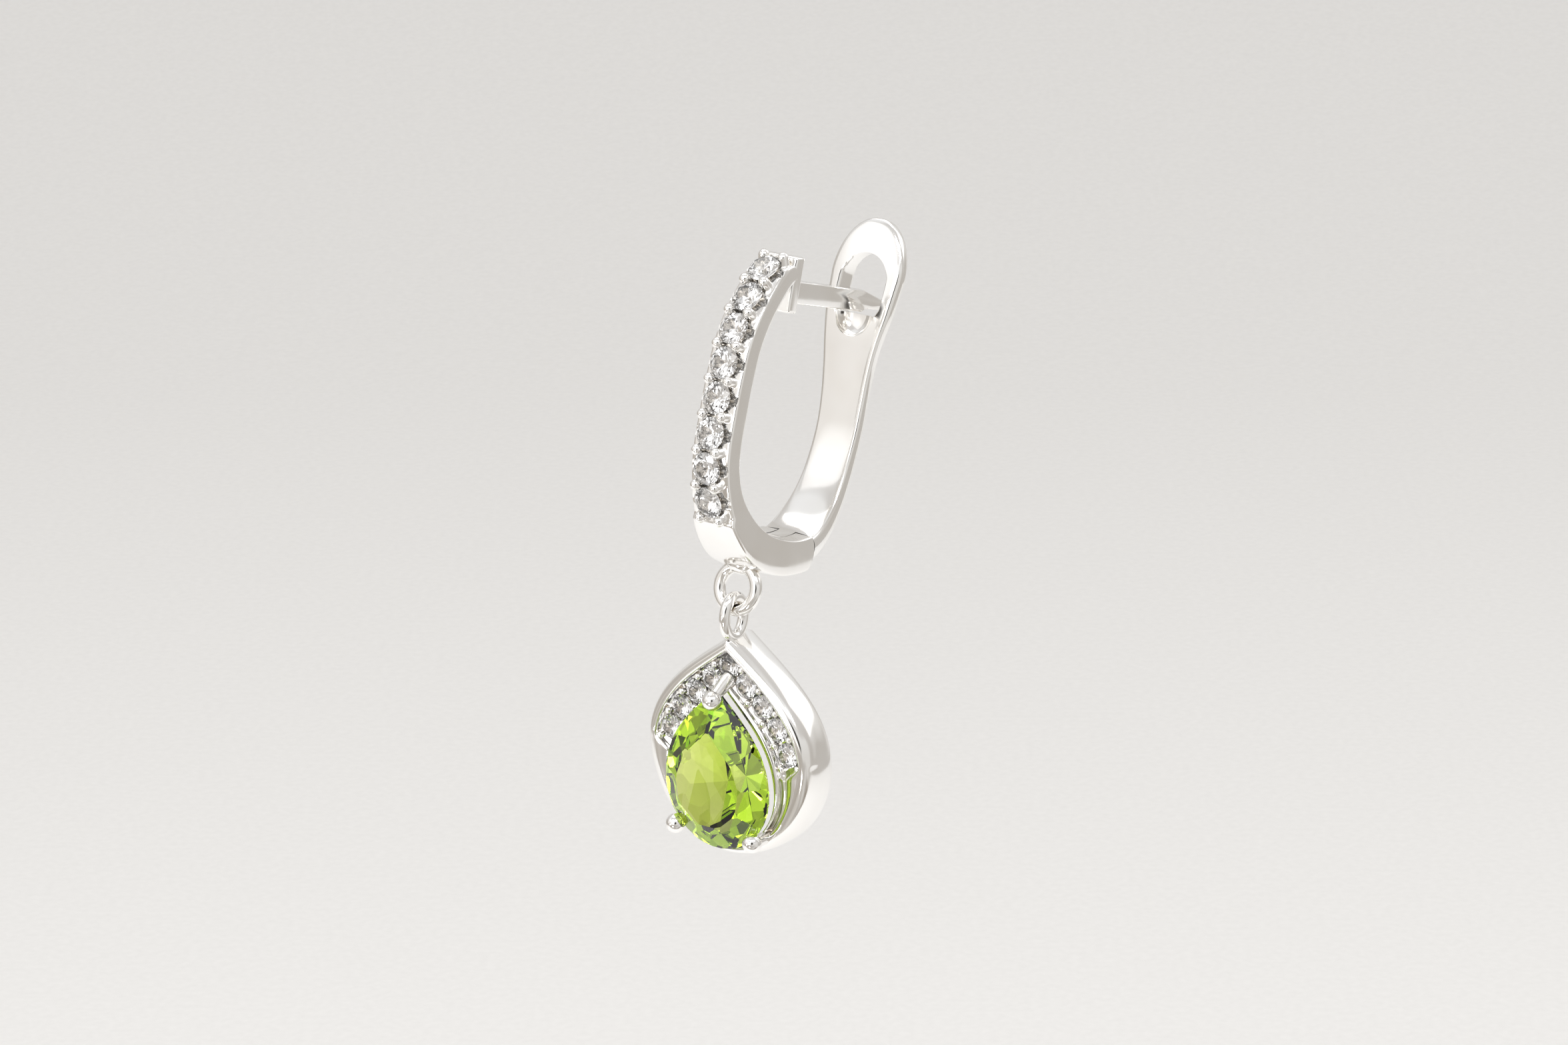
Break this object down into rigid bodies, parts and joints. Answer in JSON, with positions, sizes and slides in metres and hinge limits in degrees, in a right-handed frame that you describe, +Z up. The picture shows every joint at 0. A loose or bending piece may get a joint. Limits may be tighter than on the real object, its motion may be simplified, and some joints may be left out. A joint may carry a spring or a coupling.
{
  "type": "drop earring",
  "caption": "Lever-back drop earring: a stone-set front bar, an ear post with a hinged lever and a teardrop pendant with a pear-cut green stone.",
  "frame": {"origin": "middle of the ear post, where the ear lobe carries the earring", "axes": "+Z up, the pendant hangs along -Z, the stones face -Y and the hinged lever is at +Y"},
  "size_m": [0.0088, 0.013, 0.0259],
  "materials": {
    "silver": "polished",
    "white_stone": "polished",
    "green_stone": "polished"
  },
  "bodies": {
    "hoop": {"front_hoop": "silver", "hinge_pin": "silver", "hoop_stone_1": "white_stone", "hoop_stone_2": "white_stone", "hoop_stone_3": "white_stone", "hoop_stone_4": "white_stone", "hoop_stone_5": "white_stone", "hoop_stone_6": "white_stone", "hoop_stone_7": "white_stone", "hoop_stone_8": "white_stone"},
    "lever": {"lever": "silver"},
    "pendant": {"pendant_setting": "silver", "peridot": "green_stone", "halo_stone_1": "white_stone", "halo_stone_2": "white_stone", "halo_stone_3": "white_stone", "halo_stone_4": "white_stone", "halo_stone_5": "white_stone", "halo_stone_6": "white_stone", "halo_stone_7": "white_stone", "halo_stone_8": "white_stone", "halo_stone_9": "white_stone"}
  },
  "joints": [
    {"name": "lever_hinge", "type": "hinge", "parent": "hoop", "child": "lever", "pos_m": [0, -0.00356, -0.0104], "axis": [-1, 0, 0], "range_deg": [0, 50]},
    {"name": "pendant_swing", "type": "hinge", "parent": "hoop", "child": "pendant", "pos_m": [0, -0.00608, -0.0125], "axis": [1, 0, 0], "range_deg": [-60, 60]}
  ]
}
